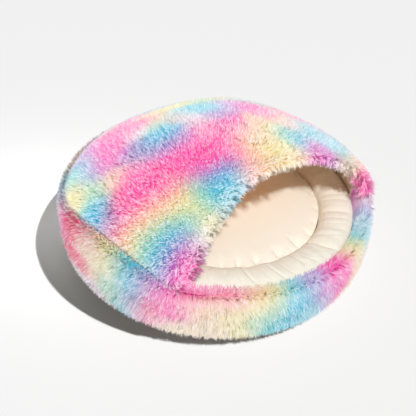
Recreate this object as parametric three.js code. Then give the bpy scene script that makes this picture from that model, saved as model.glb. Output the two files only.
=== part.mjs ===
// A round plush bed with a half hood for a cat or a small dog. A fur tray holds a padded ring and a floor
// cushion, and a lined fur hood is sewn to the tray's rim around the sides and the back.
// Millimetres, +Z up, the middle of the bottom at the origin, and the opening toward -Y. An angle is counted
// from the middle of the opening, positive toward +X, in degrees in the tables and in radians in the code.
import { CubicInterpolant, Group, LatheGeometry, MathUtils, Mesh, MeshStandardMaterial } from 'three';
import { Vector2, Vector3 } from 'three';
import { mergeVertices } from 'three/addons/utils/BufferGeometryUtils.js';

const { lerp, radToDeg, smoothstep } = MathUtils;
const QUARTER = Math.PI / 2;

// Fur tray, out to the tips of its pile: a bulging wall on a flat bottom, with a soft lip in front.
const OUTER_RADIUS = 250;
const BULGE_HEIGHT = 62;
const FOOT_RADIUS = 222;
const WALL_INSIDE = 221;
const TRAY_FLOOR = 10;
const LIP = { radius: 237, height: 101, inner: 93 };
const LIP_ENDS = 36;
const LEDGE_STARTS = 44;
const LEDGE_ROUND = 3;
const FOOT_FULLNESS = 0.8;
const WALL_FULLNESS = 0.9;
const TRAY_ROWS = { foot: 4, wall: 5, lip: 3 };

// The rim that the hood is sewn to, alike on both sides. It stands higher and is drawn in at each side, where
// the hood pulls on it.
const SEAM = [
  { angle: 0, radius: 248, height: 104 },
  { angle: 46, radius: 249, height: 104 },
  { angle: 52, radius: 251, height: 104 },
  { angle: 57, radius: 247, height: 109 },
  { angle: 63, radius: 243, height: 117 },
  { angle: 70, radius: 239, height: 123 },
  { angle: 78, radius: 236, height: 126 },
  { angle: 87, radius: 235, height: 125 },
  { angle: 99, radius: 238, height: 115 },
  { angle: 112, radius: 244, height: 103 },
  { angle: 130, radius: 241, height: 98 },
  { angle: 180, radius: 237, height: 98 },
];

// Hood: a dome of fur cloth with its crown a little forward, puffed out above the seam and at its corners.
const HOOD_HEIGHT = 225;
const HOOD_SIDE = 14;
const HOOD_CROWN = 18;
const CROWN_FORWARD = 19;
const DOME_POWER = 2.4;
const SEAM_PUFF = { depth: 4, share: 0.92, width: 0.07 };
const CORNER_PUFF = { depth: 9, angle: 50, spread: 17, share: 0.82, width: 0.14 };
const DRAPE = [
  { waves: 3, phase: 0.7, height: 2.2 },
  { waves: 5, phase: 2.1, height: 2.2 },
];

// The arch in front, as the share of the way from the crown to the seam at which the hood ends.
const ARCH = [
  { angle: -48, share: 1 },
  { angle: -46, share: 0.89 },
  { angle: -43.5, share: 0.77 },
  { angle: -39, share: 0.655 },
  { angle: -33, share: 0.546 },
  { angle: -22, share: 0.452 },
  { angle: -5, share: 0.415 },
  { angle: 9, share: 0.418 },
  { angle: 21, share: 0.45 },
  { angle: 32, share: 0.505 },
  { angle: 40, share: 0.58 },
  { angle: 45, share: 0.69 },
  { angle: 47.5, share: 0.8 },
  { angle: 49, share: 0.9 },
  { angle: 50, share: 1 },
];
const ARCH_ROLL = 8;
const ROLL_ENDS = 0.9;
const ROLL_ROWS = 3;
const SHELL_ROWS = 7;

// Lining under the hood. Its rows follow the hood's, and it ends a row short of the hood's edge.
const LINING = 2;

// Padded ring inside the tray, and the floor cushion inside the ring.
const RING_INSIDE = 167.5;
const RING_SEAM = 76;
const RING_CREST = { radius: 202, height: 100 };
const RING_SHOULDER = 86;
const RING_ROWS = { outer: 3, inner: 4 };
const CUSHION_EDGE = 72;
const CUSHION_SHOULDER = 85.7;
const CUSHION_CROWN = 91;
const CUSHION_ROUND = 9;
const CUSHION_SHOULDER_WIDTH = 22.5;
const CUSHION_EDGE_ROWS = 3;
const CUSHION_TOP_SHARES = [0.62, 0.36, 0];

// The ring's deepest gathers: creases that run across it, with the width of their soft flanks in degrees.
const CREASES = [
  { angle: -160, depth: 4, width: 4 },
  { angle: -112, depth: 4, width: 4 },
  { angle: -62, depth: 4, width: 3 },
  { angle: -36, depth: 3, width: 3 },
  { angle: -23, depth: 5, width: 3 },
  { angle: -9, depth: 4, width: 3 },
  { angle: 16, depth: 5, width: 4 },
  { angle: 41, depth: 3, width: 3 },
  { angle: 63, depth: 4, width: 3 },
  { angle: 104, depth: 4, width: 4 },
  { angle: 158, depth: 4, width: 4 },
];
const GATHERS = { count: 57, height: 1.5, steady: 0.6, swings: 4, phase: 1 };
const PUCKERS = { count: 43, depth: 2.2 };
const UNEVEN = [
  { waves: 3, turn: 1.7 },
  { waves: 7, turn: 1 },
];

// Gaps between pieces that touch. Where facets of two pieces cross, the gap is wider to keep them apart.
const GAP = 0.3;
const SEAM_GAP = 0.4;
const RING_GAP = 0.7;
const CUSHION_GAP = 0.4;
const LINING_GAP = 1.1;

// Facets around each piece.
const SHELL_STEPS = 104;
const CLOSER_STEPS = { places: 4, closeness: 0.18 };
const RING_STEPS = 216;
const CUSHION_STEPS = 156;
const MERGE_DISTANCE = 1e-4;

const FUR_PINK = 0xe58fbd;
const FUR_BLUE = 0xa9cfe6;
const CREAM = 0xf3e4cc;

const fur = (color) => new MeshStandardMaterial({ color, roughness: 0.95, metalness: 0 });
const cloth = (color) => new MeshStandardMaterial({ color, roughness: 0.85, metalness: 0 });

function signedDegrees(angle) {
  return radToDeg(Math.atan2(Math.sin(angle), Math.cos(angle)));
}

function degreesAside(angle) {
  return Math.abs(signedDegrees(angle));
}

function bell(value, middle, width) {
  return Math.exp(-(((value - middle) / width) ** 2));
}

function placed(angle, radius, height) {
  return new Vector3(radius * Math.sin(angle), -radius * Math.cos(angle), height);
}

// Steps around that lie closer together near the hood's corners and at two places behind.
function cornerSteps(turn) {
  return turn + CLOSER_STEPS.closeness * Math.sin(CLOSER_STEPS.places * turn);
}

// Turns a section once around the bed. The section may change with the angle, and is either closed on itself
// or starts and ends over the middle.
function turned(sectionAt, steps, angleAt = (turn) => turn) {
  const rows = sectionAt(0).length;
  const geometry = new LatheGeometry(Array.from({ length: rows }, () => new Vector2()), steps);
  const position = geometry.attributes.position;
  for (let step = 0; step <= steps; step += 1) {
    const angle = angleAt(((step % steps) / steps) * 2 * Math.PI);
    sectionAt(angle).forEach((point, row) => position.setXYZ(step * rows + row, ...point));
  }
  geometry.deleteAttribute('normal');
  geometry.deleteAttribute('uv');
  return geometry;
}

// Parts each four-sided facet along its other diagonal, so that a lining creases as the cloth over it does.
function refolded(geometry) {
  const index = geometry.index.array;
  for (let facet = 0; facet < index.length; facet += 6) {
    const [a, b, d, c] = index.slice(facet, facet + 4);
    index.set([a, b, c, a, c, d], facet);
  }
  return geometry;
}

const seamCurve = new CubicInterpolant(
  SEAM.map((row) => row.angle),
  SEAM.flatMap((row) => [row.radius, row.height]),
  2,
);

function seamAt(angle) {
  const [radius, height] = seamCurve.evaluate(degreesAside(angle));
  return { radius, height };
}

// Fur tray: up the bulging wall, over the rim and down inside it. The rim is a round lip in front and a flat
// ledge under the hood.
function traySection(angle) {
  const underHood = smoothstep(degreesAside(angle), LIP_ENDS, LEDGE_STARTS);
  const seam = seamAt(angle);
  const crest = lerp(LIP.radius, seam.radius - LEDGE_ROUND, underHood);
  const top = lerp(LIP.height, seam.height - SEAM_GAP, underHood);
  const innerTop = lerp(LIP.inner, seam.height - SEAM_GAP - LEDGE_ROUND, underHood);
  const section = [placed(angle, 0, 0)];
  for (let row = 0; row <= TRAY_ROWS.foot; row += 1) {
    const swing = (row / TRAY_ROWS.foot) * QUARTER;
    const radius = lerp(FOOT_RADIUS, OUTER_RADIUS, Math.sin(swing) ** FOOT_FULLNESS);
    section.push(placed(angle, radius, BULGE_HEIGHT * (1 - Math.cos(swing))));
  }
  for (let row = 1; row <= TRAY_ROWS.wall; row += 1) {
    const swing = (row / TRAY_ROWS.wall) * QUARTER;
    const radius = lerp(crest, OUTER_RADIUS, Math.cos(swing) ** WALL_FULLNESS);
    section.push(placed(angle, radius, lerp(BULGE_HEIGHT, top, Math.sin(swing))));
  }
  for (let row = 1; row <= TRAY_ROWS.lip; row += 1) {
    const swing = (row / TRAY_ROWS.lip) * QUARTER;
    const flatDrop = row === TRAY_ROWS.lip ? 1 : 0;
    const drop = lerp(1 - Math.cos(swing), flatDrop, underHood);
    const inward = lerp(Math.sin(swing), row / TRAY_ROWS.lip, underHood);
    section.push(placed(angle, lerp(crest, WALL_INSIDE, inward), lerp(top, innerTop, drop)));
  }
  section.push(placed(angle, WALL_INSIDE, TRAY_FLOOR));
  section.push(placed(angle, 0, TRAY_FLOOR));
  return section;
}

// The hood's outer and inner surfaces and the lining's two, as insets from the dome at its side and crown.
const OUTSIDE = { side: 0, crown: 0, soft: 1 };
const INSIDE = { side: HOOD_SIDE, crown: HOOD_CROWN, soft: 0 };
const LINING_TOP = { side: INSIDE.side + LINING_GAP, crown: INSIDE.crown + LINING_GAP, soft: 0 };
const LINING_UNDER = { side: LINING_TOP.side + LINING, crown: LINING_TOP.crown + LINING, soft: 0 };

// A point of the dome, from a share of 0 at the crown to 1 at the seam.
function domePoint(angle, share, inset) {
  const seam = seamAt(angle);
  const nearCorner = bell(degreesAside(angle), CORNER_PUFF.angle, CORNER_PUFF.spread);
  const corner = CORNER_PUFF.depth * nearCorner * bell(share, CORNER_PUFF.share, CORNER_PUFF.width);
  const overSeam = SEAM_PUFF.depth * bell(share, SEAM_PUFF.share, SEAM_PUFF.width);
  const sway = DRAPE.reduce((sum, wave) => sum + wave.height * Math.sin(wave.waves * angle + wave.phase), 0);
  const rise = HOOD_HEIGHT - inset.crown - seam.height;
  const radius = (seam.radius - inset.side) * share + corner + inset.soft * (overSeam + corner);
  const drape = sway * share * Math.sin(Math.PI * share);
  const height = seam.height + rise * (1 - share ** DOME_POWER) + drape + corner;
  const point = placed(angle, radius, height);
  point.y -= CROWN_FORWARD * (1 - share * share);
  return point;
}

const archCurve = new CubicInterpolant(
  ARCH.map((row) => row.angle),
  ARCH.map((row) => row.share),
  1,
);

function edgeShare(angle) {
  const degrees = signedDegrees(angle);
  const open = degrees > ARCH.at(0).angle && degrees < ARCH.at(-1).angle;
  return open ? Math.min(1, archCurve.evaluate(degrees)[0]) : 1;
}

// One surface of the dome from the crown outward, its rows closer together toward the arch or the seam.
function domeRows(angle, inset, rows) {
  const end = edgeShare(angle);
  const points = [];
  for (let row = 0; row <= rows; row += 1) {
    points.push(domePoint(angle, end * Math.sin((row / SHELL_ROWS) * QUARTER), inset));
  }
  return points;
}

// Hood: its inner and outer surfaces, joined by a rolled edge along the arch and a flat one on the seam.
function hoodSection(angle) {
  const inner = domeRows(angle, INSIDE, SHELL_ROWS);
  const outer = domeRows(angle, OUTSIDE, SHELL_ROWS);
  const roll = ARCH_ROLL * (1 - smoothstep(edgeShare(angle), ROLL_ENDS, 1));
  const outward = outer.at(-1).clone().sub(outer.at(-2)).normalize();
  const middle = inner.at(-1).clone().lerp(outer.at(-1), 0.5);
  const half = outer.at(-1).clone().sub(middle);
  const edge = [];
  for (let row = 1; row <= ROLL_ROWS; row += 1) {
    const swing = (row / (ROLL_ROWS + 1)) * Math.PI;
    const point = middle.clone().addScaledVector(half, -Math.cos(swing));
    edge.push(point.addScaledVector(outward, roll * Math.sin(swing)));
  }
  return [...inner, ...edge, ...outer.reverse()];
}

function liningSection(angle) {
  const under = domeRows(angle, LINING_UNDER, SHELL_ROWS - 1);
  return [...under, ...domeRows(angle, LINING_TOP, SHELL_ROWS - 1).reverse()];
}

// A turn that sets small gathers and puckers unevenly apart.
function unevenTurn(angle) {
  return UNEVEN.reduce((sum, wave) => sum + wave.turn * Math.sin(wave.waves * angle), 0);
}

// How far the ring's cover swells or sinks at an angle: small uneven gathers, and the deep creases.
function gatherAt(angle) {
  const degrees = signedDegrees(angle);
  const waves = Math.sin(GATHERS.count * angle + unevenTurn(angle));
  const swing = Math.sin(GATHERS.swings * angle + GATHERS.phase);
  const strength = lerp(swing, 1, GATHERS.steady);
  const swell = GATHERS.height * strength * waves;
  const sunk = (crease) => crease.depth * bell(degrees, crease.angle, crease.width);
  return CREASES.reduce((sum, crease) => sum - sunk(crease), swell);
}

// Padded ring: plain where it is hidden in the tray, round and gathered above.
function ringSection(angle) {
  const outside = WALL_INSIDE - RING_GAP;
  const floor = TRAY_FLOOR + GAP;
  const gather = gatherAt(angle);
  const section = [
    placed(angle, RING_INSIDE, floor),
    placed(angle, outside, floor),
    placed(angle, outside, RING_SHOULDER),
  ];
  for (let row = 1; row <= RING_ROWS.outer; row += 1) {
    const swing = (row / RING_ROWS.outer) * QUARTER;
    const radius = lerp(outside, RING_CREST.radius, 1 - Math.cos(swing));
    const height = lerp(RING_SHOULDER, RING_CREST.height, Math.sin(swing));
    section.push(placed(angle, radius, height + gather * (row / RING_ROWS.outer)));
  }
  for (let row = 1; row <= RING_ROWS.inner; row += 1) {
    const swing = (row / RING_ROWS.inner) * QUARTER;
    const radius = lerp(RING_CREST.radius, RING_INSIDE, Math.sin(swing));
    const height = lerp(RING_CREST.height, RING_SEAM, 1 - Math.cos(swing));
    section.push(placed(angle, radius, height + gather * Math.cos(swing)));
  }
  section.push(placed(angle, RING_INSIDE, floor));
  return section;
}

// Floor cushion: a filled disc with a crown, a drawn-in edge, and puckers where its cover is sewn.
function cushionSection(angle) {
  const radius = RING_INSIDE - CUSHION_GAP;
  const floor = TRAY_FLOOR + GAP;
  const sideTop = CUSHION_EDGE - CUSHION_ROUND;
  const pucker = Math.max(0, Math.sin(PUCKERS.count * angle + unevenTurn(angle)));
  const section = [
    placed(angle, 0, floor),
    placed(angle, radius - CUSHION_ROUND, floor),
    placed(angle, radius, floor + CUSHION_ROUND),
    placed(angle, radius, sideTop),
  ];
  for (let row = 1; row <= CUSHION_EDGE_ROWS; row += 1) {
    const swing = (row / CUSHION_EDGE_ROWS) * QUARTER;
    const inward = CUSHION_SHOULDER_WIDTH * (1 - Math.cos(swing));
    const height = lerp(sideTop, CUSHION_SHOULDER, Math.sin(swing));
    const sink = PUCKERS.depth * pucker * Math.sin(2 * swing);
    section.push(placed(angle, radius - inward - sink, height - sink));
  }
  for (const share of CUSHION_TOP_SHARES) {
    section.push(placed(angle, radius * share, lerp(CUSHION_CROWN, CUSHION_SHOULDER, share * share)));
  }
  return section;
}

function piece(name, geometry, material) {
  const mesh = new Mesh(mergeVertices(geometry, MERGE_DISTANCE), material);
  mesh.name = name;
  return mesh;
}

const bed = new Group();
bed.add(piece('fur_tray', turned(traySection, SHELL_STEPS, cornerSteps), fur(FUR_BLUE)));
bed.add(piece('padded_ring', turned(ringSection, RING_STEPS), cloth(CREAM)));
bed.add(piece('floor_cushion', turned(cushionSection, CUSHION_STEPS), cloth(CREAM)));
bed.add(piece('fur_hood', turned(hoodSection, SHELL_STEPS, cornerSteps), fur(FUR_PINK)));
bed.add(piece('hood_lining', refolded(turned(liningSection, SHELL_STEPS, cornerSteps)), cloth(CREAM)));

export default bed;
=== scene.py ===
import math

import bmesh
import bpy
import numpy as np
from mathutils import Matrix, Vector
from mathutils.kdtree import KDTree


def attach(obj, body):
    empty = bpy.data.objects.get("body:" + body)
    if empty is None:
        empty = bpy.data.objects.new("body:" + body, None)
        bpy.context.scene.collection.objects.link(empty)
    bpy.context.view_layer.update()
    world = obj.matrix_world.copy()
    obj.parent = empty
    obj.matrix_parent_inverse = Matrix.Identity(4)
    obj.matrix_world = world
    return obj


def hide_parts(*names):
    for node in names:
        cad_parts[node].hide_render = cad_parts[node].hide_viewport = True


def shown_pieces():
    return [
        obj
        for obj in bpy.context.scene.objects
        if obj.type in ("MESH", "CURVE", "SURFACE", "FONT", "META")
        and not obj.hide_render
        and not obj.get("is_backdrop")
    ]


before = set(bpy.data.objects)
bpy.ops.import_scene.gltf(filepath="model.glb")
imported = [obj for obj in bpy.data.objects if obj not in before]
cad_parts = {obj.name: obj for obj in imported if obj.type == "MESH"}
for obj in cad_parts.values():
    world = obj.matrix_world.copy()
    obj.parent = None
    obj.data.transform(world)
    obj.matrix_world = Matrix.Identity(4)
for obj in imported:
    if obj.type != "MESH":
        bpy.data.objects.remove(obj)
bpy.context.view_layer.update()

# Fur tray: the round base of the bed, a padded wall on a flat bottom. It is sewn from tie-dyed plush whose
# locks are combed from the soft lip in front, and from the hood's seam, outward and down to the floor.
MM = 0.001
WALL_PILE = 9 * MM
LIP_PILE = 5 * MM
LIP_STARTS = 84 * MM
LIP_BLENDS = 12 * MM
FLOOR_CLEAR = 3 * MM

# The dyes as screen colours, from 0 to 255. The pile darkens them at the roots with painted shade and pales
# them at the tips.
DYES = {
    "hot": (252, 114, 186),
    "pink": (255, 106, 190),
    "blush": (255, 180, 206),
    "coral": (255, 182, 198),
    "rose": (250, 92, 130),
    "orchid": (232, 138, 208),
    "lavender": (202, 184, 222),
    "violet": (146, 146, 200),
    "blue": (116, 218, 236),
    "azure": (92, 202, 226),
    "sky": (146, 216, 228),
    "teal": (96, 204, 212),
    "mint": (182, 221, 194),
    "lemon": (242, 231, 178),
    "peach": (244, 212, 182),
    "cream": (248, 230, 204),
    "white": (236, 220, 228),
}

# Where the dyes were poured on the tray, as angles from the middle of the opening, positive to the right,
# and heights. The photo shows the first chart. The far one goes on around the back in wider patches.
TRAY_CHART = {
    # dye: (degrees, height mm)
    "hot": [(-59, 74), (-56, 86), (-57, 68), (-46, 104), (9, 98)],
    "pink": [
        (-106, 78), (-52, 86), (-53, 64), (-43, 104), (-36, 102), (4, 98), (7, 84), (11, 78),
        (10, 64), (14, 84), (-49, 60),
    ],
    "blush": [(-109, 88), (-56, 44), (-63, 38), (-47, 90), (-44, 102), (-39, 102), (-31, 100)],
    "cream": [(-48, 36), (-43, 36), (-38, 42), (-52, 20), (-40, 20)],
    "coral": [(-26, 100), (-41, 96), (-33, 94), (-50, 80), (15, 96), (-89, 112)],
    "rose": [(-100, 104), (-95, 102), (-98, 72), (-91, 66), (-61, 56)],
    "peach": [
        (-86, 118), (-88, 94), (-83, 104), (-84, 72), (-47, 70),
        (-42, 88), (-43, 62), (-36, 80), (-39, 70), (-31, 84),
        (-22, 98), (20, 78), (-37, 94), (-29, 96),
    ],
    "lemon": [
        (-79, 118), (-79, 86), (-75, 106), (-26, 90), (-24, 98),
        (-20, 100), (-35, 58), (-30, 62), (-26, 74), (-22, 84),
        (19, 98), (17, 100), (24, 86), (-17, 100), (-30, 36),
    ],
    "mint": [
        (-73, 102), (-77, 66), (-75, 48), (-25, 46), (-21, 54), (-18, 68), (-17, 90), (24, 100),
    ],
    "teal": [(-71, 112), (-18, 40)],
    "sky": [
        (-70, 66), (-71, 40), (-14, 98), (-11, 100), (29, 96),
        (30, 100), (35, 96), (36, 98), (40, 102), (-4, 40),
    ],
    "azure": [(-68, 112), (-65, 114), (-68, 92), (-66, 84), (-12, 82), (-10, 58), (-13, 46), (-7, 74)],
    "violet": [(-63, 96), (-67, 56), (-64, 74), (-3, 68)],
    "lavender": [
        (-60, 104), (-62, 110), (-66, 44), (-7, 100), (-3, 90),
        (2, 54), (44, 104), (42, 102), (-1, 98),
    ],
    "orchid": [(-61, 86), (-57, 102), (2, 74), (6, 68)],
    # The two lowest white spots at the left are painted light: paler fur where light is thrown up from the
    # floor.
    "white": [(-96, 14), (-84, 20), (33, 100), (38, 100), (48, 106), (52, 108)],
}
TRAY_FAR_CHART = {
    "hot": [(70, 70), (-155, 50)],
    "pink": [(62, 90), (132, 60), (-160, 84)],
    "coral": [(80, 95), (146, 84)],
    "peach": [(26, 60), (84, 50), (150, 40), (-142, 84)],
    "lemon": [(96, 76), (160, 70), (-134, 44)],
    "mint": [(106, 100), (170, 96)],
    "sky": [(40, 60), (110, 50), (176, 50), (-124, 86)],
    "azure": [(118, 84), (-174, 84)],
    "violet": [(126, 40), (-118, 40)],
    "lavender": [(52, 64), (-170, 40), (-116, 104)],
    "orchid": [(56, 100), (126, 96), (-166, 104)],
    "rose": [(-108, 40)],
}


def linear(colour):
    """A screen colour, from 0 to 255, as light."""
    share = np.asarray(colour, float) / 255
    return np.where(share > 0.04045, ((share + 0.055) / 1.055) ** 2.4, share / 12.92)


def dyed(places, patches):
    """The dye at each place: patches are (dye, place, spread), and neighbours run into each other."""
    total = np.full((len(places), 1), 1e-9)
    colour = total * linear(DYES["peach"])
    for dye, place, spread in patches:
        away = ((places - np.asarray(place)) ** 2).sum(1, keepdims=True)
        weight = np.exp(-away / spread**2) / spread**2
        colour = colour + weight * linear(DYES[dye])
        total = total + weight
    return colour / total


def charted(chart, place_of, spread):
    """The spots of a chart as patches of dye."""
    return [(dye, place_of(*spot), spread) for dye, spots in chart.items() for spot in spots]


def soften(made, verts, rounds):
    every_way = {"use_axis_x": True, "use_axis_y": True, "use_axis_z": True}
    for _ in range(rounds):
        bmesh.ops.smooth_vert(made, verts=verts, factor=0.5, **every_way)


def smoothed_copy(node, cuts, rounds):
    """A merged copy of a solid's mesh, its facets cut finer and smoothed."""
    made = bmesh.new()
    made.from_mesh(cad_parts[node].data)
    bmesh.ops.remove_doubles(made, verts=made.verts, dist=1e-6)
    bmesh.ops.subdivide_edges(made, edges=made.edges, cuts=cuts, use_grid_fill=True)
    soften(made, made.verts, rounds)
    bmesh.ops.recalc_face_normals(made, faces=made.faces)
    return made


def placed(name, data):
    """A new object at the origin."""
    made = bpy.data.objects.new(name, data)
    bpy.context.scene.collection.objects.link(made)
    return made


def finished(name, made, material):
    """An object with a bmesh's faces."""
    mesh = bpy.data.meshes.new(name)
    made.to_mesh(mesh)
    made.free()
    mesh.materials.append(material)
    mesh.shade_smooth()
    return placed(name, mesh)


class Shade:
    """A value in a material. Sums on it add Math nodes, and node() adds any other node."""

    def __init__(self, socket):
        self.socket = socket

    def node(self, kind, settings=(), inputs=()):
        made = self.socket.id_data.nodes.new(kind)
        for name, value in dict(settings).items():
            setattr(made, name, value)
        for name, value in dict(inputs).items():
            if isinstance(value, Shade):
                self.socket.id_data.links.new(value.socket, made.inputs[name])
            else:
                made.inputs[name].default_value = value
        return made

    def reach(self, target):
        self.socket.id_data.links.new(self.socket, target)

    def sum(self, operation, first, second):
        made = self.node("ShaderNodeMath", {"operation": operation}, {0: first, 1: second})
        return Shade(made.outputs[0])

    def __add__(self, other):
        return self.sum("ADD", self, other)

    __radd__ = __add__

    def __mul__(self, other):
        return self.sum("MULTIPLY", self, other)

    __rmul__ = __mul__


def new_material(name, roughness):
    """A material with its main shader and the place on the piece, in its own frame."""
    material = bpy.data.materials.new(name)
    material.use_nodes = True
    shader = material.node_tree.nodes["Principled BSDF"]
    shader.inputs["Roughness"].default_value = roughness
    shader.inputs["Specular IOR Level"].default_value = 0.2
    place = Shade(material.node_tree.nodes.new("ShaderNodeTexCoord").outputs["Object"])
    return material, shader, place


def noise(place, scale, detail=2):
    made = place.node("ShaderNodeTexNoise", {}, {"Vector": place, "Scale": scale, "Detail": detail})
    return Shade(made.outputs["Fac"])


# The plush takes its dye from the locks, a little uneven from fibre to fibre.
FIBRE_SCALE = 900
FIBRE_DARKEST = 0.88
FIBRE_VARIES = 0.1
PAINTED_GLOW_DEEPER = 1.5
PAINTED_GLOW = 0.15
LIGHT_PASSED = 0.06
PASSED_TINT = (1, 0.9, 0.92, 1)
plush, shader, place = new_material("dyed_plush", 0.9)
shader.inputs["Specular IOR Level"].default_value = 0
dye = Shade(place.node("ShaderNodeVertexColor", {"layer_name": "dye"}).outputs["Color"])
uneven = FIBRE_DARKEST + FIBRE_VARIES * noise(place, FIBRE_SCALE)
fibre = place.node("ShaderNodeHueSaturation", {}, {"Color": dye, "Value": uneven})
Shade(fibre.outputs["Color"]).reach(shader.inputs["Base Color"])
# Painted glow: the plush gives off a little light in the dye's deeper colour, standing in for light that
# scatters from strand to strand.
painted_glow_colour = place.node("ShaderNodeHueSaturation", {}, {"Color": dye, "Saturation": PAINTED_GLOW_DEEPER})
Shade(painted_glow_colour.outputs["Color"]).reach(shader.inputs["Emission Color"])
shader.inputs["Emission Strength"].default_value = PAINTED_GLOW
# A strand is thin enough to pass light, so both its sides take the light as the cloth under it does.
lie = place.node("ShaderNodeAttribute", {"attribute_name": "lie"})
Shade(lie.outputs["Vector"]).reach(shader.inputs["Normal"])
passed = Shade(place.node("ShaderNodeBsdfTranslucent", {}, {"Color": PASSED_TINT}).outputs[0])
both = place.node("ShaderNodeMixShader", {}, {0: LIGHT_PASSED, 1: Shade(shader.outputs[0]), 2: passed})
Shade(both.outputs[0]).reach(plush.node_tree.nodes["Material Output"].inputs["Surface"])


def paint(mesh, colours, normals):
    """Stores a dye, and the way the cloth lies, for each point of a mesh."""
    layer = mesh.color_attributes.new("dye", "FLOAT_COLOR", "POINT")
    rgba = np.ones((len(mesh.vertices), 4), np.float32)
    rgba[:, :3] = colours
    layer.data.foreach_set("color", rgba.ravel())
    lie = mesh.attributes.new("lie", "FLOAT_VECTOR", "POINT")
    lie.data.foreach_set("vector", np.asarray(normals, np.float32).ravel())
    mesh.normals_split_custom_set_from_vertices(normals)


def points_of(mesh):
    flat = np.empty(len(mesh.vertices) * 3, np.float32)
    mesh.vertices.foreach_get("co", flat)
    return flat.reshape(-1, 3).astype(float)


def normals_of(mesh):
    return np.array([normal.vector for normal in mesh.vertex_normals])


def unit(vectors):
    return vectors / np.maximum(np.linalg.norm(vectors, axis=-1, keepdims=True), 1e-9)


def rows_dot(a, b):
    return (a * b).sum(-1, keepdims=True)


def lock_roots(mesh, furry, spacing, seed, rounds):
    """Random places on the furry faces of a mesh, about a spacing apart, and the cloth's evened normals."""
    mesh.calc_loop_triangles()
    corners = np.array([t.vertices for t in mesh.loop_triangles])
    faces = np.array([t.polygon_index for t in mesh.loop_triangles])
    corners = corners[np.isin(faces, furry)]
    points = points_of(mesh)
    normals = normals_of(mesh)
    ends = np.array([edge.vertices for edge in mesh.edges])
    for _ in range(rounds):
        spread = normals.copy()
        np.add.at(spread, ends[:, 0], normals[ends[:, 1]])
        np.add.at(spread, ends[:, 1], normals[ends[:, 0]])
        normals = unit(spread)
    a, b, c = (points[corners[:, k]] for k in range(3))
    areas = np.linalg.norm(np.cross(b - a, c - a), axis=1) / 2
    draw = np.random.default_rng(seed)
    count = int(areas.sum() / spacing**2)
    steps = (np.arange(count) + draw.random(count)) / count
    chosen = corners[np.searchsorted(np.cumsum(areas) / areas.sum(), steps)]
    shares = draw.random((count, 2))
    shares = np.where(shares.sum(1, keepdims=True) > 1, 1 - shares, shares)
    weights = np.column_stack([1 - shares.sum(1), shares])[:, :, None]
    return (points[chosen] * weights).sum(1), unit((normals[chosen] * weights).sum(1))


def swirl(places, size, seed):
    """A smooth random direction at each place, turning within about a size."""
    draw = np.random.default_rng(seed)
    waves = draw.normal(0, 2 / size, (3, 4, 3))
    phases = draw.uniform(0, 2 * np.pi, (3, 4))
    return np.stack([np.sin(places @ waves[k].T + phases[k]).sum(1) for k in range(3)], 1) / 2


def along(normals, wanted):
    """The wanted directions laid flat on the cloth."""
    return unit(wanted - normals * rows_dot(wanted, normals))


def toward(azimuth, elevation):
    """The direction of something at an azimuth, counted from the opening to the right, and an elevation."""
    turn, rise = math.radians(azimuth), math.radians(elevation)
    return Vector((math.sin(turn) * math.cos(rise), -math.cos(turn) * math.cos(rise), math.sin(rise)))


LOCK_STRANDS = 2
LOCK_RADIUS = 0.9 * MM
LOCK_CLOSES = 0.9
ROOT_DEPTH = 1 * MM
STRAND_WIDTH = 1.08 * MM
STRAND_PARTS = np.array([0.5, 0.5])
STRAND_BEND = np.array([0.8, 1.2])
STRAND_TAPER = np.array([0.8, 1.0])
STRAND_LENGTHS = (0.75, 1.1)
HEADING_VARIES = 0.3
LEAN_VARIES = 0.22
TWIST_VARIES = 0.9
# A strand has two points at its root, two in the middle and one at its tip.
STRAND_ROWS = [0, 0, 1, 1, 2]
# Painted shade: the dye is darkened toward the roots, where the pile shades itself.
ROW_PAINTED_SHADE = np.array([1.8, 1.2, 0.95])
ROW_PALER = np.array([0.0, 0.25, 1.0])
PALE = np.array([1.0, 0.98, 0.98])
PALE_LOCK = 1.1
PLAIN_LOCK = 0.25
# A strand takes light as the cloth under it does, but turned to the key light, which soaks into the pile.
KEY_AZIMUTH = -30
KEY_ELEVATION = 57
KEY_FROM = np.array(toward(KEY_AZIMUTH, KEY_ELEVATION))
KEY_TURNS = 1.3
LIE_VARIES = 0.52


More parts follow.
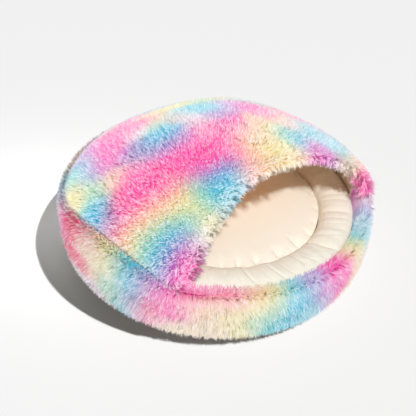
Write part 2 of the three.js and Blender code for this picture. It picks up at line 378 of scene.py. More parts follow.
def pile(name, locks, seed, pale, strands=LOCK_STRANDS, spread=LOCK_RADIUS):
    """Locks of plush: each is a tuft of flat strands that bend over and draw together at the tips."""
    draw = np.random.default_rng(seed)
    lock = np.repeat(np.arange(len(locks["places"])), strands)
    count = len(lock)
    root, normal, comb, dye = (locks[key][lock] for key in ("places", "normals", "combs", "dyes"))
    length, lean, stray = (locks[key][lock, None] for key in ("lengths", "leans", "strays"))
    side = np.cross(normal, comb)
    turn = draw.uniform(0, 2 * np.pi, (count, 1))
    apart = spread * np.sqrt(draw.random((count, 1))) * (np.cos(turn) * comb + np.sin(turn) * side)
    own = draw.normal(0, HEADING_VARIES, (count, 1))
    own = own + draw.normal(0, 1, (len(locks["places"]), 1))[lock] * stray
    heading = np.cos(own) * comb + np.sin(own) * side
    lean = lean + draw.normal(0, LEAN_VARIES, (count, 1))
    length = length * draw.uniform(*STRAND_LENGTHS, (count, 1))
    twist = draw.uniform(-TWIST_VARIES, TWIST_VARIES, (count, 1))
    across = unit(np.cross(normal, heading) * np.cos(twist) + normal * np.sin(twist))
    spine = [root + apart - normal * ROOT_DEPTH]
    for part, bend in zip(STRAND_PARTS, STRAND_BEND):
        reach = normal * np.cos(lean * bend) + heading * np.sin(lean * bend)
        spine.append(spine[-1] + reach * length * part - apart * LOCK_CLOSES * part)
    rows = []
    for middle, taper in zip(spine, STRAND_TAPER):
        half = across * STRAND_WIDTH * taper / 2
        rows += [middle - half, middle + half]
    points = np.stack([*rows, spine[-1]], 1)
    points[:, :, 2] = np.maximum(points[:, :, 2], FLOOR_CLEAR)
    first = np.arange(count)[:, None] * points.shape[1]
    quads = first + np.array([0, 1, 3, 2])
    tips = first + np.array([2, 3, 4])
    mesh = bpy.data.meshes.new(name)
    mesh.vertices.add(points.shape[0] * points.shape[1])
    mesh.vertices.foreach_set("co", points.ravel())
    mesh.loops.add(quads.size + tips.size)
    mesh.loops.foreach_set("vertex_index", np.concatenate([quads.ravel(), tips.ravel()]))
    mesh.polygons.add(len(quads) + len(tips))
    starts = np.concatenate([np.arange(len(quads)) * 4, quads.size + np.arange(len(tips)) * 3])
    mesh.polygons.foreach_set("loop_start", starts)
    mesh.update(calc_edges=True)
    paler = np.where(draw.random((len(locks["places"]), 1)) < pale, PALE_LOCK, PLAIN_LOCK)[lock]
    white = np.clip(ROW_PALER[STRAND_ROWS] * paler, 0, 1)[:, :, None]
    # Painted shade at the roots, paler toward the tips.
    deep = dye[:, None, :] ** ROW_PAINTED_SHADE[STRAND_ROWS][:, None]
    colours = deep * (1 - white) + white * PALE
    mesh.materials.append(plush)
    mesh.shade_smooth()
    lie = unit(normal + KEY_TURNS * KEY_FROM + LIE_VARIES * draw.normal(0, 1, (count, 3)))
    paint(mesh, np.clip(colours, 0, 1).reshape(-1, 3), np.repeat(lie, points.shape[1], 0))
    return placed(name, mesh)


TIPS_SHOW = 0.66


def tips_of(locks):
    """About where the locks show: two thirds of the way to their tips."""
    reach, lean = TIPS_SHOW * locks["lengths"][:, None], locks["leans"][:, None]
    return locks["places"] + reach * (locks["normals"] * np.cos(lean) + locks["combs"] * np.sin(lean))


def picked(locks, there):
    return {key: values[there] for key, values in locks.items()}


def degrees_round(places):
    return np.degrees(np.arctan2(places[:, 0], -places[:, 1]))


def turn_of(point):
    """The angle of one point from the middle of the opening, positive to the right."""
    return math.atan2(point.x, -point.y)


SIDES_FROM = 60


def sides(turned):
    """The locks at the left, in front and at the right: one mesh for all would be too large."""
    front = np.abs(turned) <= SIDES_FROM
    return {"left": turned < -SIDES_FROM, "front": front, "right": turned > SIDES_FROM}


def outward(places):
    return unit(places * np.array([1, 1, 0]))


def near(away, reach):
    """1 at no distance, fading out over a reach."""
    return np.exp(-((away / reach) ** 2))


def clamped(value):
    return max(0, min(1, value))


# The backing: the solid drawn in by the depth of the pile, except inside. Its bottom stays level.
TRAY_INSIDE = 221 * MM
LIP_INNER = TRAY_INSIDE + 2 * MM
BOTTOM_INNER = TRAY_INSIDE - 20 * MM
BOTTOM_TOP = 2 * MM
RIM_UNDER_HOOD = 51
SEAM_FULL = 3.5 * MM
tray = smoothed_copy("fur_tray", 1, 2)
tray.normal_update()
for vert in tray.verts:
    radius = math.hypot(vert.co.x, vert.co.y)
    at_bottom = vert.co.z < BOTTOM_TOP
    if radius > LIP_INNER or (radius > BOTTOM_INNER and at_bottom):
        high = clamped((vert.co.z - LIP_STARTS) / LIP_BLENDS)
        depth = WALL_PILE + (LIP_PILE - WALL_PILE) * high
        if abs(turn_of(vert.co)) > math.radians(RIM_UNDER_HOOD):
            depth -= SEAM_FULL * high
        move = vert.normal * depth
        vert.co -= Vector((move.x, move.y, 0)) if at_bottom else move
tray_backing = finished("tray_backing", tray, plush)
tray_backing.visible_diffuse = False
tray_mesh = tray_backing.data

WALL_RADIUS = 245
WALL_WIDEST_AT = 62
WALL_BULGE = 0.005
TRAY_SPREAD = 16 * MM
TRAY_FAR_SPREAD = 34 * MM
TRAY_BACKING_PAINTED_SHADE = 1.3


def on_wall(degrees, height):
    """A charted place near the wall's outside."""
    turn = math.radians(degrees)
    radius = (WALL_RADIUS - WALL_BULGE * (height - WALL_WIDEST_AT) ** 2) * MM
    return radius * math.sin(turn), -radius * math.cos(turn), height * MM


tray_dyes = charted(TRAY_CHART, on_wall, TRAY_SPREAD) + charted(TRAY_FAR_CHART, on_wall, TRAY_FAR_SPREAD)
# Painted shade: the backing's dyes are darkened where they show between the locks.
shaded_backing_dye = dyed(points_of(tray_mesh), tray_dyes) ** TRAY_BACKING_PAINTED_SHADE
paint(tray_mesh, shaded_backing_dye, normals_of(tray_mesh))

FACES_DOWN = -0.8
FUR_INNER = TRAY_INSIDE - 14 * MM
LEDGE_OUTER = 228 * MM
HOOD_PASSES_LEFT = 8
HOOD_PASSES_RIGHT = 15


def tray_is_furry(face):
    """The wall's outside and its lip. The hood covers a ledge and the wall's inside, which are bare."""
    radius = math.hypot(face.center.x, face.center.y)
    outside = face.center.x * face.normal.x + face.center.y * face.normal.y
    aside = abs(math.degrees(turn_of(face.center)))
    covered = aside > RIM_UNDER_HOOD + (HOOD_PASSES_RIGHT if face.center.x > 0 else HOOD_PASSES_LEFT)
    ledge = covered and face.normal.z > 0.75 and radius < LEDGE_OUTER
    bare = outside < -0.3 * radius or (outside < -0.1 * radius and covered)
    return radius > FUR_INNER and face.normal.z > FACES_DOWN and not ledge and not bare


TRAY_LOCKS_APART = 1.9 * MM
furry = np.array([face.index for face in tray_mesh.polygons if tray_is_furry(face)])
places, normals = lock_roots(tray_mesh, furry, TRAY_LOCKS_APART, 11, 2)
away = outward(places)
facing = rows_dot(away, normals)
downhill = along(normals, away - np.array([0, 0, 1]) * facing)
facing = facing[:, 0]
turned = degrees_round(places)

# Locks stand up where the wall meets the hood's seam and on top of the lip, and fall over outside it.
RIM_STEP = 3
NO_RIM = 1
step = np.round(turned / RIM_STEP).astype(int) + 180 // RIM_STEP
rim = np.zeros(360 // RIM_STEP + 1)
np.maximum.at(rim, step, places[:, 2])
from_rim = np.where(np.abs(turned) > RIM_UNDER_HOOD, rim[step] - places[:, 2], NO_RIM)
from_ring = np.hypot(places[:, 0], places[:, 1]) - TRAY_INSIDE
at_seam = near(from_rim, 12 * MM)
at_ring = near(from_ring, 9 * MM)
falls = np.clip(facing / 0.6, 0, 1)
over_lip = np.arcsin(np.maximum(0, -facing))
tray_locks = {
    "places": places,
    "normals": normals,
    "combs": along(normals, downhill + 0.35 * swirl(places, 60 * MM, 12)),
    "lengths": (15 - 5 * at_seam - 4 * at_ring) * MM,
    "leans": 0.1 + 0.65 * falls**2 * (3 - 2 * falls) - 0.4 * at_seam + over_lip,
    "strays": 0.4 + 0.3 * at_seam,
}

# Painted shade: the dyes are darkened a little over the whole wall, more along the left side, and most down
# in the seam.
TRAY_FRONT_SHADED = 0.98
TRAY_LEFT_SHADED = 0.84
SEAM_PAINTED_SHADE = 0.5
in_seam = near(from_rim, 5 * MM) * np.clip((np.abs(turned) - 56) / 10, 0, 1)
to_left = np.clip((-turned - 48) / 20, 0, 1)
shade = (TRAY_FRONT_SHADED + (TRAY_LEFT_SHADED - TRAY_FRONT_SHADED) * to_left) * (1 - SEAM_PAINTED_SHADE * in_seam)
tray_locks["dyes"] = dyed(tips_of(tray_locks), tray_dyes) * shade[:, None]

# The thin pile lets light through. A shorter underfur on the wall throws its shadow.
TRAY_PALE = 0.3
UNDERFUR_TOP = 88 * MM
UNDERFUR_FADES = 40 * MM
UNDERFUR_SHARE = 0.24
UNDERFUR_LENGTH = 0.75
under = UNDERFUR_SHARE * np.clip((UNDERFUR_TOP - places[:, 2]) / UNDERFUR_FADES, 0, 1)
under = np.random.default_rng(17).random(len(places)) < under
tray_locks["lengths"][under] *= UNDERFUR_LENGTH
tray_piles = []
for seed, (side, there) in enumerate(sides(turned).items(), 13):
    tray_piles.append(pile("tray_pile_" + side, picked(tray_locks, there & ~under), seed, TRAY_PALE))
    tray_piles[-1].visible_shadow = False
tray_piles.append(pile("tray_underfur", picked(tray_locks, under), 18, TRAY_PALE))

# Along the lip in front longer tufts fall from the ring's side over its crest.
TUFT_SHARE = 0.16
TUFT_STRANDS = 9
TUFT_RADIUS = 2.4 * MM
draw = np.random.default_rng(19)
in_front = np.abs(turned) < RIM_UNDER_HOOD + 3
on_lip = in_front & (np.abs(facing) < 0.4) & (places[:, 2] > LIP_STARTS)
lip = picked(tray_locks, on_lip & (draw.random(len(places)) < TUFT_SHARE))
lip["lengths"] = draw.uniform(12, 18, len(lip["lengths"])) * MM
lip["leans"] = draw.uniform(0.4, 1.0, len(lip["lengths"]))
tray_piles.append(pile("lip_tufts", lip, 20, 0.0, TUFT_STRANDS, TUFT_RADIUS))
tray_piles[-1].visible_shadow = False
for piece in tray_piles:
    piece.visible_diffuse = False
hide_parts("fur_tray")
for piece in (tray_backing, *tray_piles):
    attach(piece, "root")

# Padded ring: a cream tube of soft cloth, stuffed full and laid inside the tray's wall. Its cover is
# gathered on the way around, so creases and finer wrinkles run across it.
CREAM = (0.9, 0.845, 0.73)
CREAM_WARM = (0.87, 0.785, 0.62)
CREASES = [
    # (radius from, to mm), (degrees there), depth mm, half width mm
    ((170, 219), (15.0, 17.5), 2.8, 3.0),
    ((186, 212), (1.5, 4.8), 1.4, 2.4),
    ((188, 219), (-15.5, -10.2), 2.4, 3.0),
    ((180, 218), (-26.5, -22.2), 2.6, 3.0),
    ((188, 216), (-34.5, -33.2), 1.4, 3.0),
    ((184, 217), (-9.6, -6.6), 1.0, 2.4),
    ((194, 218), (12.2, 13.8), 1.0, 2.2),
    ((172, 214), (55.5, 54.0), 0.7, 2.4),
    ((170, 216), (51.5, 50.0), 0.8, 2.4),
    ((171, 215), (47.0, 46.0), 0.7, 2.4),
    ((170, 216), (42.5, 42.0), 0.9, 2.6),
    ((174, 216), (36.0, 37.5), 0.7, 2.4),
    ((176, 216), (31.0, 33.5), 0.9, 2.4),
    ((172, 215), (26.0, 29.5), 0.8, 2.4),
    ((174, 214), (21.5, 25.5), 0.7, 2.4),
    ((178, 214), (59.5, 58.0), 0.7, 2.6),
    ((178, 214), (64.0, 65.0), 0.8, 2.6),
    ((178, 214), (70.0, 69.0), 0.6, 2.6),
    ((182, 212), (-2.0, 0.5), 0.7, 2.4),
    ((182, 214), (-19.0, -17.0), 0.7, 2.4),
    ((182, 214), (-29.5, -28.5), 0.7, 2.6),
    ((182, 214), (-41.5, -40.5), 0.8, 2.6),
    ((182, 214), (7.0, 9.0), 0.7, 2.2),
]
CREASE_BOW = 1.2


def sunk(vert, creases):
    """How deep the creases are at a point of a cover. Each bows a little and fades at its ends."""
    radius = math.hypot(vert.co.x, vert.co.y) / MM
    degrees = math.degrees(turn_of(vert.co))
    deep = 0
    for (start, end), (first, last), depth, half in creases:
        share = (radius - start) / (end - start)
        bow = CREASE_BOW * math.sin(math.pi * clamped(share))
        away = math.radians(degrees - first - (last - first) * share + bow) * radius
        ends = clamped(4 * share + 0.6) * clamped(4 * (1 - share) + 0.6)
        deep += depth * math.exp(-((away / half) ** 2)) * ends
    return deep * MM


def cream_cloth(name):
    """Soft cream cloth with a fine nap, a little warmer in places."""
    material, shader, place = new_material(name, 0.85)
    creams = {"Factor": 0.35 * noise(place, 60, 3), 6: (*CREAM, 1), 7: (*CREAM_WARM, 1)}
    mixed = place.node("ShaderNodeMix", {"data_type": "RGBA"}, creams)
    Shade(mixed.outputs[2]).reach(shader.inputs["Base Color"])
    nap = noise(place, 1400)
    bump = place.node("ShaderNodeBump", {}, {"Height": nap, "Strength": 0.15, "Distance": 0.4 * MM})
    Shade(bump.outputs["Normal"]).reach(shader.inputs["Normal"])
    return material


RING_COVER = 70 * MM
gathered = smoothed_copy("padded_ring", 3, 3)
gathered.normal_update()
dips = {vert: vert.normal * sunk(vert, CREASES) for vert in gathered.verts if vert.co.z > RING_COVER}
for vert, dip in dips.items():
    vert.co -= dip
ring = finished("gathered_ring", gathered, cream_cloth("ring_cloth"))
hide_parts("padded_ring")
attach(ring, "root")

# Floor cushion: a disc of the same cream cloth, filled and crowned, that fits inside the ring. Its cover
# puckers along the rim, where it is sewn.
CUSHION_COVER = 55 * MM
CUSHION_SHOULDER = 130 * MM
CUSHION_RIM = 167 * MM
SHOULDER_TOP = 86
RIM_DROPS = 7
PINCHES = [
    # degrees, radius mm, depth mm, half width mm
    (-35, 160, 4, 6), (-26, 158, 6, 7), (-16, 157, 6, 6), (-1.5, 158, 6, 7), (13, 159, 7, 7),
    (24, 162, 3, 5), (34, 163, 2, 6), (47, 163, 2, 6), (-47, 160, 4, 7), (-60, 160, 5, 7), (62, 162, 3, 7),
    (80, 162, 4, 8),
]
CUSHION_CREASES = [
    # (radius from, to mm), (degrees there), depth mm, half width mm
    ((150, 167), (-34.0, -35.5), 1.4, 2.8),
    ((146, 167), (-25.0, -26.0), 1.8, 3.2),
    ((152, 167), (-17.0, -16.0), 1.6, 2.6),
    ((148, 167), (-3.0, -1.5), 1.8, 3.0),
    ((152, 167), (6.0, 6.5), 1.0, 2.6),
    ((146, 167), (11.5, 13.0), 2.0, 3.2),
    ((152, 167), (24.5, 24.0), 1.2, 2.8),
]
crowned = smoothed_copy("floor_cushion", 2, 7)
for vert in crowned.verts:
    if vert.co.z > CUSHION_COVER:
        # The cover swells against the ring, and dips where it is stitched.
        radius = math.hypot(vert.co.x, vert.co.y)
        out = max(0, (radius - CUSHION_SHOULDER) / (CUSHION_RIM - CUSHION_SHOULDER))
        if out > 0:
            vert.co.z = max(vert.co.z, (SHOULDER_TOP - RIM_DROPS * out**2) * MM)
        vert.co.z -= sunk(vert, CUSHION_CREASES)
        for degrees, middle, depth, half in PINCHES:
            turn = math.radians(degrees)
            away = Vector((middle * math.sin(turn), -middle * math.cos(turn))) * MM - vert.co.xy
            vert.co.z -= depth * MM * math.exp(-(away.length_squared / (half * MM) ** 2))
cushion = finished("crowned_cushion", crowned, cream_cloth("cushion_cloth"))
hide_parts("floor_cushion")
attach(cushion, "root")

# Fur hood: half a dome of the same plush, sewn to the tray's rim around the sides and the back and cut away
# in front along an arch. Its locks lie away from the crown and hang over the arch's edge.
HOOD_MIDDLE = Vector((0, -10 * MM, 80 * MM))
CROWN = np.array([0, -19, 225]) * MM

# Where the dyes were poured on the hood. The photo shows the first chart. The far one goes on around the
# back and the right in wider patches.
HOOD_CHART = {
    # dye: (x mm, y mm, z mm)
    "hot": [
        (0, -5, 225), (-20, 0, 225), (-100, 135, 165), (-105, 160, 150), (-25, -20, 225), (-75, -30, 220),
        (-60, -40, 220), (-40, -55, 220), (-120, -20, 205), (-110, -30, 210), (-80, -55, 215),
        (-60, -60, 215), (-150, -10, 190), (-145, -30, 195), (-125, -35, 200), (-170, -5, 175),
        (-180, -15, 175), (-155, -35, 190), (-185, -30, 170), (-185, -165, 130), (-195, -160, 115),
        (-200, -155, 110), (170, -155, 140),
    ],
    "pink": [
        (80, 35, 210), (90, 15, 210), (-80, 110, 185), (-70, 170, 150), (-115, 170, 135), (20, 5, 225),
        (-140, 120, 150), (-140, 90, 170), (-85, -10, 215), (-95, -45, 210), (-125, 0, 200),
        (-155, 80, 160), (-160, 10, 185), (-115, -50, 205), (-165, -20, 185), (-145, -50, 190),
        (-195, -20, 165), (-175, -40, 175), (-200, -40, 160), (-180, -155, 140), (180, -160, 135),
        (-120, 100, 175), (92, -116, 196),
    ],
    "blush": [
        (-55, 165, 155), (-95, 110, 180), (-30, 10, 220), (-50, 0, 220), (-150, 25, 185), (-140, 10, 190),
        (140, 10, 190), (-175, -160, 145), (-40, -105, 210), (-40, 70, 210),
    ],
    "coral": [
        (85, 0, 210), (10, -20, 225), (-10, -35, 225), (-25, -65, 220), (-30, -85, 220), (-180, 15, 170),
        (-165, -50, 180), (-150, -65, 190), (-190, -50, 165), (-215, -45, 150), (-225, -50, 135),
        (-130, -50, 200),
    ],
    "peach": [
        (-45, 140, 175), (-60, 95, 195), (45, -15, 220), (35, -40, 220), (10, -45, 225), (25, -55, 220),
        (-10, -70, 220), (-20, -90, 220), (-5, -105, 215), (95, -35, 210), (-170, 40, 170), (-185, 30, 160),
        (-125, -60, 200), (-140, -70, 190), (-175, -60, 175), (-160, -70, 180), (-190, -60, 165),
        (-175, -75, 175), (-205, -55, 155), (-195, -70, 160), (-220, -60, 140), (-225, -70, 130),
        (-20, -110, 215), (170, -130, 170), (200, -125, 145), (165, -120, 170),
    ],
    "lemon": [
        (-20, 135, 185), (5, 135, 185), (25, 130, 185), (55, -45, 220), (40, -65, 220), (10, -80, 220),
        (30, -90, 220), (50, -90, 215), (15, -105, 215), (-215, 90, 115), (-210, 75, 130), (-225, 80, 110),
        (-220, 60, 125), (-130, -85, 190), (-145, -80, 185), (-160, -85, 180), (-135, -100, 185),
        (-150, -100, 180), (-130, -120, 180), (-210, -70, 145), (-215, -80, 135), (-185, -85, 165),
        (-125, -130, 180),
    ],
    "mint": [
        (40, 110, 190), (-50, 75, 210), (-80, 80, 200), (-35, 75, 210), (65, -60, 215),
        (-200, 115, 115), (-195, 55, 145), (-200, 35, 150), (-215, 40, 140), (-110, -80, 200),
        (-120, -75, 200), (-115, -95, 195), (-115, -110, 190), (-170, -100, 175), (-200, -85, 150),
        (-190, -95, 160), (-210, -95, 140), (-215, -105, 130),
    ],
    "teal": [
        (-180, 140, 115), (-190, 80, 140), (-95, -125, 190), (-105, -115, 190), (-155, -110, 175),
        (-210, -110, 140),
    ],
    "sky": [
        (0, 70, 210), (-20, 75, 210), (20, 60, 215), (75, -65, 215), (90, -70, 210), (130, -60, 195),
        (145, -70, 190), (160, -100, 180), (160, -110, 175), (155, -90, 180), (-185, 110, 130),
        (-70, -110, 200), (-95, -105, 195), (-85, -115, 195), (-145, -120, 175), (-155, -130, 170),
        (80, -90, 210), (-70, -125, 195),
    ],
    "azure": [
        (-80, 50, 210), (-70, 40, 210), (-90, 45, 205), (-215, 20, 140), (-215, 5, 145), (-225, 10, 135),
        (-220, 0, 140), (-230, 0, 130), (-100, -85, 200), (-90, -95, 200), (-75, -100, 205),
        (-180, -105, 165), (-165, -115, 170), (-200, -105, 145), (-190, -115, 150), (-180, -120, 160),
    ],
    "blue": [(-105, 40, 200), (-70, -85, 210), (-60, -95, 210), (-200, -120, 145), (-210, -120, 130)],
    "violet": [
        (-125, 60, 190), (-120, 40, 195), (-115, 30, 200), (-100, 20, 210), (-85, 15, 210), (-140, 45, 185),
        (-130, 30, 190), (-60, -80, 215), (-50, -85, 215), (-220, -15, 145), (-220, -25, 140),
        (-190, -130, 150), (-205, -125, 135), (-210, -130, 120), (-200, -140, 125),
    ],
    "lavender": [
        (50, 55, 215), (20, 25, 220), (-70, 20, 215), (5, 30, 220), (-120, 10, 200), (90, -100, 200),
        (125, -110, 185), (-140, 185, 110), (-165, 125, 135), (-160, 160, 115), (-180, 90, 145),
        (-100, -70, 210), (-230, -20, 130), (-170, -130, 165),
    ],
    "orchid": [
        (65, 45, 215), (-60, 10, 220), (-135, 160, 130), (-140, 60, 180), (-165, 90, 150), (-150, 60, 175),
        (-100, 0, 210), (-45, -75, 220), (110, -105, 195), (85, -120, 195), (-105, -60, 205),
        (-175, 65, 160), (-80, -70, 210), (-215, -30, 150), (-180, -135, 155), (-175, -145, 155),
        (-165, -145, 165), (-190, -145, 140), (-195, -150, 125), (-195, -140, 140), (110, -120, 190),
    ],
    "rose": [(-225, -35, 140), (-205, -10, 155)],
    "white": [
        (-30, 50, 215), (-25, 25, 220), (-95, 90, 190), (-110, 85, 185), (-55, -110, 205), (110, -40, 210),
        (-90, -130, 190), (150, -80, 185),
    ],
    "cream": [
        (30, -115, 210), (50, -115, 210), (70, -115, 200),
        (-45, -105, 210), (-110, -130, 180), (-140, -130, 175),
        (-150, -140, 170), (-20, -115, 210), (0, -115, 210), (140, -130, 180),
    ],
}
HOOD_FAR_CHART = {
    "hot": [(150, 60, 160), (60, 190, 120)],
    "pink": [(175, 20, 165), (90, 165, 140), (-40, 205, 115), (205, -125, 130)],
    "coral": [(200, -20, 150), (130, 125, 150)],
    "peach": [(170, 110, 130), (120, -10, 200), (10, 220, 105)],
    "lemon": [(205, 60, 130), (75, 120, 185), (-80, 195, 115)],
    "mint": [(110, 60, 190)],
    "sky": [(150, -40, 190), (190, -70, 165), (215, -70, 140), (130, 90, 165), (30, 175, 150)],
    "azure": [(180, 80, 140), (-10, 190, 140)],
    "lavender": [(100, 190, 115), (-110, 190, 105)],
    "orchid": [(215, 0, 130), (150, 150, 110)],
}
HOOD_SPREAD = 19 * MM
HOOD_FAR_SPREAD = 38 * MM
HOOD_BACKING_PAINTED_SHADE = 1.5
HOOD_PILE = 8 * MM
HOOD_THICK = 15 * MM
ARCH_HALF = 50.5


def faces_out(face):
    """Whether a face of the hood is on its outside, over the cave and off the tray's rim."""
    return face.normal.dot(face.calc_center_median() - HOOD_MIDDLE) > 0 and face.normal.z > FACES_DOWN


def on_arch(point):
    return abs(turn_of(point)) < math.radians(ARCH_HALF)


def middles(edges):
    return [(edge.verts[0].co + edge.verts[1].co) / 2 for edge in edges]


def tree_of(points):
    tree = KDTree(len(points))
    for index, point in enumerate(points):
        tree.insert(point, index)
    tree.balance()
    return tree


def on_hood(x, y, z):
    """A charted place."""
    return x * MM, y * MM, z * MM


MOUTH = Vector((0, -180, 120)) * MM
# Where the arch ends, and how full the hood is there.
FEET = [(Vector((172, -158, 132)) * MM, 1), (Vector((-185, -166, 118)) * MM, 0.1)]
ARCH_DRAWN = 8 * MM
ARCH_REACH = 30 * MM
ARCH_ROLL = 26 * MM
FEET_SWELL = 6 * MM
FEET_REACH = 30 * MM
RIGHT_STARTS = 30 * MM
RIGHT_BLENDS = 80 * MM
RIGHT_MORE = 0.7
SEAM_DRAWN = 2 * MM
SEAM_REACH = 15 * MM
UNDERSIDE_MORE = 1.2


def drawn_from_arch(vert):
    """How the hood's edge is drawn back from the arch by its pile's reach. At its feet it swells."""
    close = math.exp(-((arch_tree.find(vert.co)[2] / ARCH_REACH) ** 2))
    foot = max(full * math.exp(-(((vert.co - middle).length / FEET_REACH) ** 2)) for middle, full in FEET)
    right = clamped((vert.co.x - RIGHT_STARTS) / RIGHT_BLENDS)
    away = vert.co - MOUTH
    dome = (vert.co - HOOD_MIDDLE).normalized()
    away = (away - dome * away.dot(dome)).normalized()
    return away * close * (ARCH_DRAWN * (1 + RIGHT_MORE * right) * (1 - foot) - FEET_SWELL * foot)


# The backing: the dome drawn in by the depth of the pile, and drawn in more along its seam.
hood = smoothed_copy("fur_hood", 1, 1)
hood.normal_update()
outside = {face.index for face in hood.faces if faces_out(face)}
edges = [edge for edge in hood.edges if len({face.index in outside for face in edge.link_faces}) == 2]
arch_tree = tree_of([point for point in middles(edges) if on_arch(point)])
seam_tree = tree_of([point for point in middles(edges) if not on_arch(point)])
moves = {}
for vert in hood.verts:
    share = sum(face.index in outside for face in vert.link_faces) / len(vert.link_faces)
    inward = -Vector((vert.co.x, vert.co.y, 0)).normalized()
    from_seam = seam_tree.find(vert.co)[2]
    low = math.exp(-((from_seam / SEAM_REACH) ** 2))
    move = inward * SEAM_DRAWN * low * share - vert.normal * HOOD_PILE * share
    if any(face.normal.z < FACES_DOWN for face in vert.link_faces):
        move = inward * HOOD_PILE * UNDERSIDE_MORE * max(0, 1 - from_seam / HOOD_THICK)
    moves[vert] = move + drawn_from_arch(vert)
for vert, move in moves.items():
    vert.co += move
# The edge is turned under in a soft roll.
soften(hood, [vert for vert in hood.verts if arch_tree.find(vert.co)[2] < ARCH_ROLL], 3)
arch_edge = tree_of([point for point in middles(edges) if on_arch(point)])
seam_edge = tree_of([point for point in middles(edges) if not on_arch(point)])
hood_backing = finished("hood_backing", hood, plush)
hood_backing.visible_diffuse = False
hood_mesh = hood_backing.data
hood_dyes = charted(HOOD_CHART, on_hood, HOOD_SPREAD) + charted(HOOD_FAR_CHART, on_hood, HOOD_FAR_SPREAD)
# Painted shade: the backing's dyes are darkened where they show between the locks.
shaded_backing_dye = dyed(points_of(hood_mesh), hood_dyes) ** HOOD_BACKING_PAINTED_SHADE
paint(hood_mesh, shaded_backing_dye, normals_of(hood_mesh))


def hood_is_furry(face):
    """The outside, and the roll along the arch, where the pile goes around the edge."""
    turned_out = face.normal.dot((face.center - HOOD_MIDDLE).normalized())
    return face.index in outside or (turned_out > -0.4 and face.normal.z > FACES_DOWN)


def far_from(tree, places):
    return np.array([tree.find(place)[2] for place in places])[:, None]


HOOD_LOCKS_APART = 1.85 * MM
furry = np.array([face.index for face in hood_mesh.polygons if hood_is_furry(face)])
places, normals = lock_roots(hood_mesh, furry, HOOD_LOCKS_APART, 21, 0)
from_arch = far_from(arch_edge, places)
from_seam = far_from(seam_edge, places)
from_crown = (places - CROWN) * np.array([1, 1, 0])
downhill = along(normals, from_crown)
to_mouth = along(normals, np.array(MOUTH) - places)
near_arch = near(from_arch, 20 * MM)
near_seam = near(from_seam, 18 * MM)
near_crown = np.exp(-rows_dot(from_crown, from_crown) / (60 * MM) ** 2)
from_feet = [(places - np.array(middle), full) for middle, full in FEET]
near_foot = sum(full * np.exp(-rows_dot(away, away) / (34 * MM) ** 2) for away, full in from_feet)
# Locks fall away from the crown, turn to the mouth along the arch, and drop at its feet.
wanted = downhill * (1 - near_arch) * (1 - near_crown) + to_mouth * near_arch
wanted = wanted + (0.25 + near_crown) * (1 - 0.6 * near_arch) * swirl(places, 70 * MM, 22)
wanted = wanted - np.array([0, 0, 1.5]) * near_foot
hood_locks = {
    "places": places,
    "normals": normals,
    "combs": along(normals, wanted),
    "lengths": (9.5 + 4 * near_arch + 6 * near_foot)[:, 0] * MM,
    "leans": (0.4 + 0.45 * near_arch + 0.15 * near_seam - 0.15 * near_crown)[:, 0],
    "strays": (0.9 - 0.3 * near_arch - 0.2 * near_seam)[:, 0],
}
# Painted shade: the dyes are darkened close to the seam.
hood_locks["dyes"] = dyed(tips_of(hood_locks), hood_dyes) * (1 - SEAM_PAINTED_SHADE * near(from_seam, 6 * MM))
HOOD_PALE = 0.45
hood_piles = []
for seed, (side, there) in enumerate(sides(degrees_round(places)).items(), 23):
    hood_piles.append(pile("hood_pile_" + side, picked(hood_locks, there), seed, HOOD_PALE))
    hood_piles[-1].visible_shadow = False

# Along the arch some locks are longer and hang over the edge in points, and fewer hang at its feet.
FRINGE_SHARE = 0.07
FOOT_SHARE = 0.05
FRINGE_REACH = 16 * MM
FRINGE_PALE = 0.1
FRINGE_STRANDS = 12
FRINGE_RADIUS = 2.4 * MM
draw = np.random.default_rng(27)
over_mouth = rows_dot(normals, unit(np.array(MOUTH) - places))[:, 0] > 0.2
on_edge = over_mouth & (from_arch[:, 0] < FRINGE_REACH)
hangs = np.where(near_foot[:, 0] > 0.6, FOOT_SHARE, FRINGE_SHARE * on_edge)
hangs = draw.random(len(places)) < hangs
fringe = picked(hood_locks, hangs)
at_foot = near_foot[hangs]
fringe["combs"] = along(normals[hangs], to_mouth[hangs] - np.array([0, 0, 2]) * at_foot)
fringe["lengths"] = (draw.uniform(10, 19, len(at_foot)) + 6 * at_foot[:, 0]) * MM
fringe["leans"] = draw.uniform(0.2, 0.6, len(at_foot)) + 0.4 * at_foot[:, 0]
fringe["strays"] = np.full(len(at_foot), 0.3)
hood_piles.append(pile("arch_fringe", fringe, 28, FRINGE_PALE, FRINGE_STRANDS, FRINGE_RADIUS))
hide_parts("fur_hood")
for piece in (hood_backing, *hood_piles):
    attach(piece, "root")

# Hood lining: a thin cream cloth sewn under the hood, smooth and a little slack. It ends behind the arch's
# edge, and below the dome it goes down between the tray's wall and the ring.
LINING = 2 * MM
# It is cut as three gores laid side by side.
LINING_GAP = 1.1 * MM
INSIDE_FACES = -0.02
SEWN_BELOW = 140 * MM
HEM_BEHIND = 24 * MM
TUCK_RADIUS = 218.5 * MM
TUCK_DEPTH = 84 * MM
TUCK_STEPS = (0.15, 0.5, 1.0)
slack = smoothed_copy("fur_hood", 1, 1)
slack.normal_update()
centres = {face: face.calc_center_median() for face in slack.faces}
sewn = {face for face in slack.faces if face.normal.z < FACES_DOWN and centres[face].z < SEWN_BELOW}
sewn_verts = {vert for face in sewn for vert in face.verts}
outer = {face for face in slack.faces if face.normal.dot(centres[face] - HOOD_MIDDLE) > INSIDE_FACES}
at_hem = {face for face in slack.faces if arch_tree.find(centres[face])[2] < HEM_BEHIND}
bmesh.ops.delete(slack, geom=list(outer | at_hem | sewn), context="FACES")
slack.normal_update()
for vert in slack.verts:
    vert.co += vert.normal * LINING_GAP
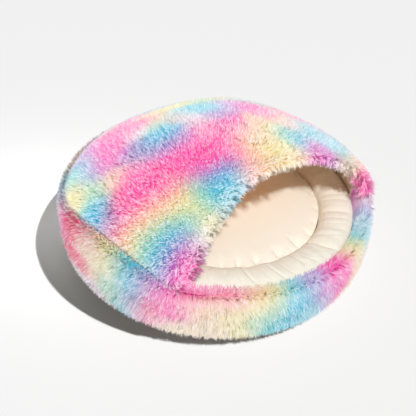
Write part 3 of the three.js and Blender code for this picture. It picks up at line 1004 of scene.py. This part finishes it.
for depth in TUCK_STEPS:
    hem = [edge for edge in slack.edges if edge.is_boundary and sewn_verts.issuperset(edge.verts)]
    made = bmesh.ops.extrude_edge_only(slack, edges=hem)["geom"]
    sewn_verts = {vert for vert in made if isinstance(vert, bmesh.types.BMVert)}
    for vert in sewn_verts:
        radius = math.hypot(vert.co.x, vert.co.y)
        vert.co.x *= TUCK_RADIUS / radius
        vert.co.y *= TUCK_RADIUS / radius
        vert.co.z += (TUCK_DEPTH - vert.co.z) * depth
bmesh.ops.recalc_face_normals(slack, faces=slack.faces)
lining = finished("slack_lining", slack, cream_cloth("lining_cloth"))
thick = lining.modifiers.new("thickness", "SOLIDIFY")
thick.thickness = LINING
thick.offset = 1
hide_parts("hood_lining")
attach(lining, "root")

# Floor, light and camera: a plain pale floor and soft studio light. The bed and the floor each have a key
# light of their own, because their shadows fall to different sides.
FLOOR_GREY = 0.75
FLOOR_HALF = 20
floor_mesh = bmesh.new()
bmesh.ops.create_grid(floor_mesh, x_segments=1, y_segments=1, size=FLOOR_HALF)
floor_material, shader, place = new_material("pale_floor", 0.9)
shader.inputs["Base Color"].default_value = (FLOOR_GREY, FLOOR_GREY, FLOOR_GREY, 1)
floor = finished("floor", floor_mesh, floor_material)
floor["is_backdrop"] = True

SKY_LIGHT = 0.075
scene = bpy.context.scene
scene.view_settings.view_transform = "Standard"
world = bpy.data.worlds.new("studio")
world.use_nodes = True
world.node_tree.nodes["Background"].inputs["Color"].default_value = (1, 1, 1, 1)
world.node_tree.nodes["Background"].inputs["Strength"].default_value = SKY_LIGHT
scene.world = world


def sun(name, azimuth, elevation, strength, size):
    """Parallel light from an azimuth and an elevation, softened by its size in degrees."""
    light = bpy.data.lights.new(name, "SUN")
    light.energy = strength
    light.angle = math.radians(size)
    lamp = placed(name, light)
    lamp.rotation_euler = toward(azimuth, elevation).to_track_quat("Z", "Y").to_euler()
    return lamp


def panel(name, watts, wide, deep, place):
    """A soft rectangle of light that shines down from a place."""
    light = bpy.data.lights.new(name, "AREA")
    light.energy = watts
    light.shape = "RECTANGLE"
    light.size = wide
    light.size_y = deep
    lamp = placed(name, light)
    lamp.location = Vector(place) * MM
    return lamp


def lights_only(lamp, pieces):
    """Lets a lamp light some pieces alone."""
    chosen = bpy.data.collections.new(lamp.name + "_lights")
    for piece in pieces:
        chosen.objects.link(piece)
    lamp.light_linking.receiver_collection = chosen


key = sun("key", KEY_AZIMUTH, KEY_ELEVATION, 2.6, 5)
key.data.color = (0.95, 0.975, 1)
overhead = sun("overhead", 0, 90, 0.5, 60)
floor_key = sun("floor_key", 41, 63, 3.9, 2)
# A soft light at the left thins the shadow on the floor there.
floor_side = panel("floor_side", 0.19, 0.15, 0.15, (-225, 200, 200))
# Light that the lining throws back into the cave.
glow = panel("glow", 0.045, 0.26, 0.2, (0, -10, 182))
glow.data.color = (1, 0.3, 0.02)
lights_only(key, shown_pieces())
lights_only(overhead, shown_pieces())
lights_only(floor_key, [floor])
lights_only(floor_side, [floor])
lights_only(glow, [ring, cushion, lining])

CAMERA_AZIMUTH = -42.4
CAMERA_ELEVATION = 40.4
CAMERA_ROLL = 6.4
CAMERA_DISTANCE = 1.2
CAMERA_LENS = 61.7
CAMERA_SENSOR = 36
AIM_UP = 44.8 * MM
AIM_RIGHT = -6 * MM
turn = math.radians(CAMERA_AZIMUTH)
backward = toward(CAMERA_AZIMUTH, CAMERA_ELEVATION)
level = Vector((math.cos(turn), math.sin(turn), 0))
upright = backward.cross(level)
roll = math.radians(CAMERA_ROLL)
right = level * math.cos(roll) + upright * math.sin(roll)
up = upright * math.cos(roll) - level * math.sin(roll)
stand = backward * CAMERA_DISTANCE
look_from = (stand - up * AIM_UP - right * AIM_RIGHT).normalized()
side = up.cross(look_from).normalized()
axes = Matrix((side, look_from.cross(side), look_from)).transposed().to_4x4()
camera_data = bpy.data.cameras.new("camera")
camera_data.lens = CAMERA_LENS
camera_data.sensor_width = CAMERA_SENSOR
camera = placed("camera", camera_data)
camera.matrix_world = Matrix.Translation(stand) @ axes
scene.camera = camera
